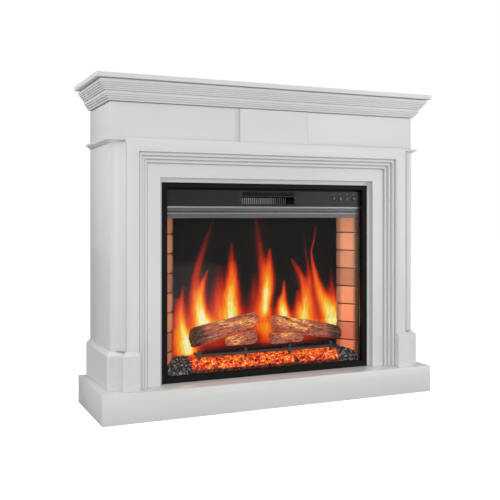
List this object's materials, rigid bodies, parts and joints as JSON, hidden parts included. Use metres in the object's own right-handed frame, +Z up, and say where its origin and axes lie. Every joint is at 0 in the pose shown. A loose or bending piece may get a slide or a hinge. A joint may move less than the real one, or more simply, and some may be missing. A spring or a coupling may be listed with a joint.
{
  "type": "electric fireplace",
  "caption": "Free-standing white mantel suite with a recessed black electric fire: glass front, log and ember bed, flame picture, fan heater outlet and push buttons.",
  "frame": {"origin": "on the floor, under the middle of the object's box", "axes": "+Z up, +X to the viewer's right along the mantel, +Y from the front to the wall"},
  "size_m": [1.133, 0.32, 0.99],
  "materials": {
    "white_lacquer": "satin white lacquer on medium-density fibreboard",
    "raw_board": "raw fibreboard",
    "black_steel": "black powder coat, satin",
    "black_fascia": "black gloss coat",
    "bright_trim": "brushed",
    "grey_steel": "dark grey semi-gloss",
    "motor_steel": "plated",
    "front_glass": "clear tempered glass",
    "brick": "moulded brick pattern, matt",
    "flame_picture": "printed translucent film",
    "log_bark": "moulded resin, painted bark",
    "embers": "moulded translucent resin",
    "grate_iron": "matt black",
    "zinc_sheet": "zinc-coated sheet",
    "button_plastic": "gloss black",
    "dark_plastic": "moulded",
    "heater_fins": "folded fins",
    "spindle_foil": "polished foil",
    "circuit_board": "solder mask"
  },
  "bodies": {
    "mantel": {"astragal_left": "white_lacquer", "astragal_right": "white_lacquer", "blower_housing": "zinc_sheet", "blower_motor": "motor_steel", "brick_wall_left": "brick", "brick_wall_right": "brick", "casing_base": "zinc_sheet", "casing_left": "zinc_sheet", "casing_right": "zinc_sheet", "casing_top": "zinc_sheet", "column_cove_left": "white_lacquer", "column_cove_right": "white_lacquer", "control_board": "circuit_board", "control_fascia": "black_fascia", "crown_lower_moulding": "white_lacquer", "crown_upper_moulding": "white_lacquer", "ember_bed": "embers", "ember_led_board": "circuit_board", "firebox_ceiling": "black_steel", "firebox_header": "grey_steel", "flame_led_board": "circuit_board", "flame_motor": "motor_steel", "flame_screen": "flame_picture", "frieze_board": "white_lacquer", "frieze_centre_block": "white_lacquer", "front_frame": "black_steel", "glass_pane": "front_glass", "hearth_front_board": "white_lacquer", "hearth_side_left": "white_lacquer", "hearth_side_right": "white_lacquer", "hearth_top_board": "white_lacquer", "heater_fin_pack": "heater_fins", "insert_rail_left": "white_lacquer", "insert_rail_right": "white_lacquer", "insert_rail_top": "white_lacquer", "log_back_left": "log_bark", "log_back_right": "log_bark", "log_front_left": "log_bark", "log_front_right": "log_bark", "log_grate": "grate_iron", "mantel_shelf": "white_lacquer", "outlet_guard": "black_steel", "outlet_trim": "bright_trim", "pedestal_left": "white_lacquer", "pedestal_right": "white_lacquer", "power_inlet": "dark_plastic", "rear_cover": "zinc_sheet", "rear_rail": "raw_board", "side_panel_left": "white_lacquer", "side_panel_right": "white_lacquer", "surround_jamb_left": "white_lacquer", "surround_jamb_right": "white_lacquer", "surround_lintel": "white_lacquer"},
    "blower_rotor": {"blower_wheel": "dark_plastic"},
    "flame_rotor": {"flame_spindle": "spindle_foil"},
    "power_key": {"button_power": "button_plastic"},
    "flame_key": {"button_flame": "button_plastic"},
    "heat_key": {"button_heat": "button_plastic"},
    "timer_key": {"button_timer": "button_plastic"}
  },
  "joints": [
    {"name": "blower_spin", "type": "hinge", "parent": "mantel", "child": "blower_rotor", "pos_m": [0, 0.056, 0.642], "axis": [1, 0, 0], "continuous": true},
    {"name": "flame_spin", "type": "hinge", "parent": "mantel", "child": "flame_rotor", "pos_m": [0, 0.084, 0.172], "axis": [1, 0, 0], "continuous": true},
    {"name": "power_press", "type": "slide", "parent": "mantel", "child": "power_key", "axis": [0, 1, 0], "range_m": [0, 0.001], "stiffness_N_per_m": 600},
    {"name": "flame_press", "type": "slide", "parent": "mantel", "child": "flame_key", "axis": [0, 1, 0], "range_m": [0, 0.001], "stiffness_N_per_m": 600},
    {"name": "heat_press", "type": "slide", "parent": "mantel", "child": "heat_key", "axis": [0, 1, 0], "range_m": [0, 0.001], "stiffness_N_per_m": 600},
    {"name": "timer_press", "type": "slide", "parent": "mantel", "child": "timer_key", "axis": [0, 1, 0], "range_m": [0, 0.001], "stiffness_N_per_m": 600}
  ]
}
